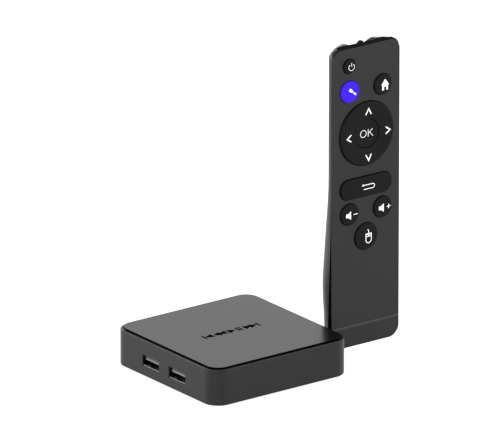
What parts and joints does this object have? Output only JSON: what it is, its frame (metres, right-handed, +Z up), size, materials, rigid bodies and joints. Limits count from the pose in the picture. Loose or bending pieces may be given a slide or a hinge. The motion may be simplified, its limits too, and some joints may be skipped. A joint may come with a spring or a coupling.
{
  "type": "streaming media player",
  "caption": "Small square set-top box with a raised lid plate and side sockets, with a slim key-pad remote control standing on end beside it.",
  "frame": {"origin": "middle of the box's foot ring, on the table that the box and the remote stand on", "axes": "+Z up; -Y out of the box's plain front and out of the remote's keys; -X out of the side with the two USB sockets; +Y out of the side with the other sockets; the remote stands at +X"},
  "size_m": [0.1357, 0.082, 0.154],
  "materials": {
    "case_plastic": "fine spark texture",
    "lid_plastic": "smooth satin",
    "cover_plastic": "fine spark texture",
    "foot_rubber": "matt",
    "screw_steel": "black zinc",
    "socket_steel": "tinned sheet",
    "tongue_plastic": "moulded",
    "contact_gold": "gold flash",
    "socket_plastic": "moulded",
    "board_green": "solder mask",
    "chip_epoxy": "moulded epoxy",
    "gap_pad": "soft silicone",
    "fin_aluminium": "extruded",
    "can_steel": "tinned can",
    "antenna_copper": "flexible circuit",
    "lead_jacket": "thin coaxial lead",
    "dark_lens": "infrared-pass epoxy",
    "led_white": "clear epoxy",
    "remote_face": "smooth satin",
    "remote_shell": "fine texture",
    "remote_frame": "piano black",
    "key_black": "satin",
    "key_blue": "satin",
    "mat_silicone": "moulded silicone",
    "cell_wrap": "plain printed wrap",
    "spring_steel": "nickel plated",
    "tray_plastic": "moulded"
  },
  "bodies": {
    "player_box": {"box_housing": "case_plastic", "top_plate": "lid_plastic", "bottom_cover": "cover_plastic", "foot_ring": "foot_rubber", "case_screws": "screw_steel", "main_board": "board_green", "processor": "chip_epoxy", "thermal_pad": "gap_pad", "heat_sink": "fin_aluminium", "memory_chips": "chip_epoxy", "storage_chip": "chip_epoxy", "wifi_module": "can_steel", "wifi_antennas": "antenna_copper", "antenna_leads": "lead_jacket", "usb_shells": "socket_steel", "usb_tongues": "tongue_plastic", "usb_contacts": "contact_gold", "hdmi_shell": "socket_steel", "hdmi_tongue": "socket_plastic", "lan_socket": "socket_plastic", "lan_contacts": "contact_gold", "power_jack": "socket_plastic", "power_pin": "spring_steel", "av_jack": "socket_plastic", "ir_receiver": "dark_lens", "status_led": "led_white", "capacitors": "fin_aluminium", "inductors": "chip_epoxy"},
    "remote": {"remote_front_plate": "remote_face", "remote_end_cap": "remote_face", "remote_mid_frame": "remote_frame", "remote_rear_shell": "remote_shell", "remote_board": "board_green", "keypad_mat": "mat_silicone", "key_domes": "mat_silicone", "remote_chip": "chip_epoxy", "microphone": "can_steel", "ir_emitter": "dark_lens", "battery_cells": "cell_wrap", "battery_springs": "spring_steel", "battery_contacts": "spring_steel", "battery_tray": "tray_plastic"},
    "battery_door": {"battery_door": "remote_shell"},
    "power_key": {"power_key": "key_black"},
    "voice_key": {"voice_key": "key_blue"},
    "home_key": {"home_key": "key_black"},
    "ok_key": {"ok_key": "key_black"},
    "back_key": {"back_key": "key_black"},
    "volume_down_key": {"volume_down_key": "key_black"},
    "volume_up_key": {"volume_up_key": "key_black"},
    "mouse_key": {"mouse_key": "key_black"},
    "dpad_collar": {"dpad_collar": "mat_silicone"},
    "dpad_ring": {"dpad_ring": "key_black"}
  },
  "joints": [
    {"name": "remote_lift", "type": "slide", "parent": "player_box", "child": "remote", "axis": [0, 0, 1], "range_m": [0, 0.05]},
    {"name": "battery_door_hinge", "type": "hinge", "parent": "remote", "child": "battery_door", "pos_m": [0.07425, 0.0079, 0.0081], "axis": [-1, 0, 0], "range_deg": [0, 75]},
    {"name": "power_press", "type": "slide", "parent": "remote", "child": "power_key", "axis": [0, 1, 0], "range_m": [0, 0.0005], "stiffness_N_per_m": 1000, "deforming": ["key_domes"]},
    {"name": "voice_press", "type": "slide", "parent": "remote", "child": "voice_key", "axis": [0, 1, 0], "range_m": [0, 0.0005], "stiffness_N_per_m": 1000, "deforming": ["key_domes"]},
    {"name": "home_press", "type": "slide", "parent": "remote", "child": "home_key", "axis": [0, 1, 0], "range_m": [0, 0.0005], "stiffness_N_per_m": 1000, "deforming": ["key_domes"]},
    {"name": "ok_press", "type": "slide", "parent": "remote", "child": "ok_key", "axis": [0, 1, 0], "range_m": [0, 0.0005], "stiffness_N_per_m": 1000, "deforming": ["key_domes"]},
    {"name": "back_press", "type": "slide", "parent": "remote", "child": "back_key", "axis": [0, 1, 0], "range_m": [0, 0.0005], "stiffness_N_per_m": 1000, "deforming": ["key_domes"]},
    {"name": "volume_down_press", "type": "slide", "parent": "remote", "child": "volume_down_key", "axis": [0, 1, 0], "range_m": [0, 0.0005], "stiffness_N_per_m": 1000, "deforming": ["key_domes"]},
    {"name": "volume_up_press", "type": "slide", "parent": "remote", "child": "volume_up_key", "axis": [0, 1, 0], "range_m": [0, 0.0005], "stiffness_N_per_m": 1000, "deforming": ["key_domes"]},
    {"name": "mouse_press", "type": "slide", "parent": "remote", "child": "mouse_key", "axis": [0, 1, 0], "range_m": [0, 0.0005], "stiffness_N_per_m": 1000, "deforming": ["key_domes"]},
    {"name": "dpad_rock_sideways", "type": "hinge", "parent": "remote", "child": "dpad_collar", "pos_m": [0.07445, -0.00665, 0.1078], "axis": [0, 0, 1], "range_deg": [-1.2, 1.2], "stiffness_Nm_per_rad": 0.3, "deforming": ["key_domes"]},
    {"name": "dpad_rock_up_down", "type": "hinge", "parent": "dpad_collar", "child": "dpad_ring", "pos_m": [0.07445, -0.00665, 0.1078], "axis": [1, 0, 0], "range_deg": [-1.2, 1.2], "stiffness_Nm_per_rad": 0.3, "deforming": ["key_domes"]}
  ]
}
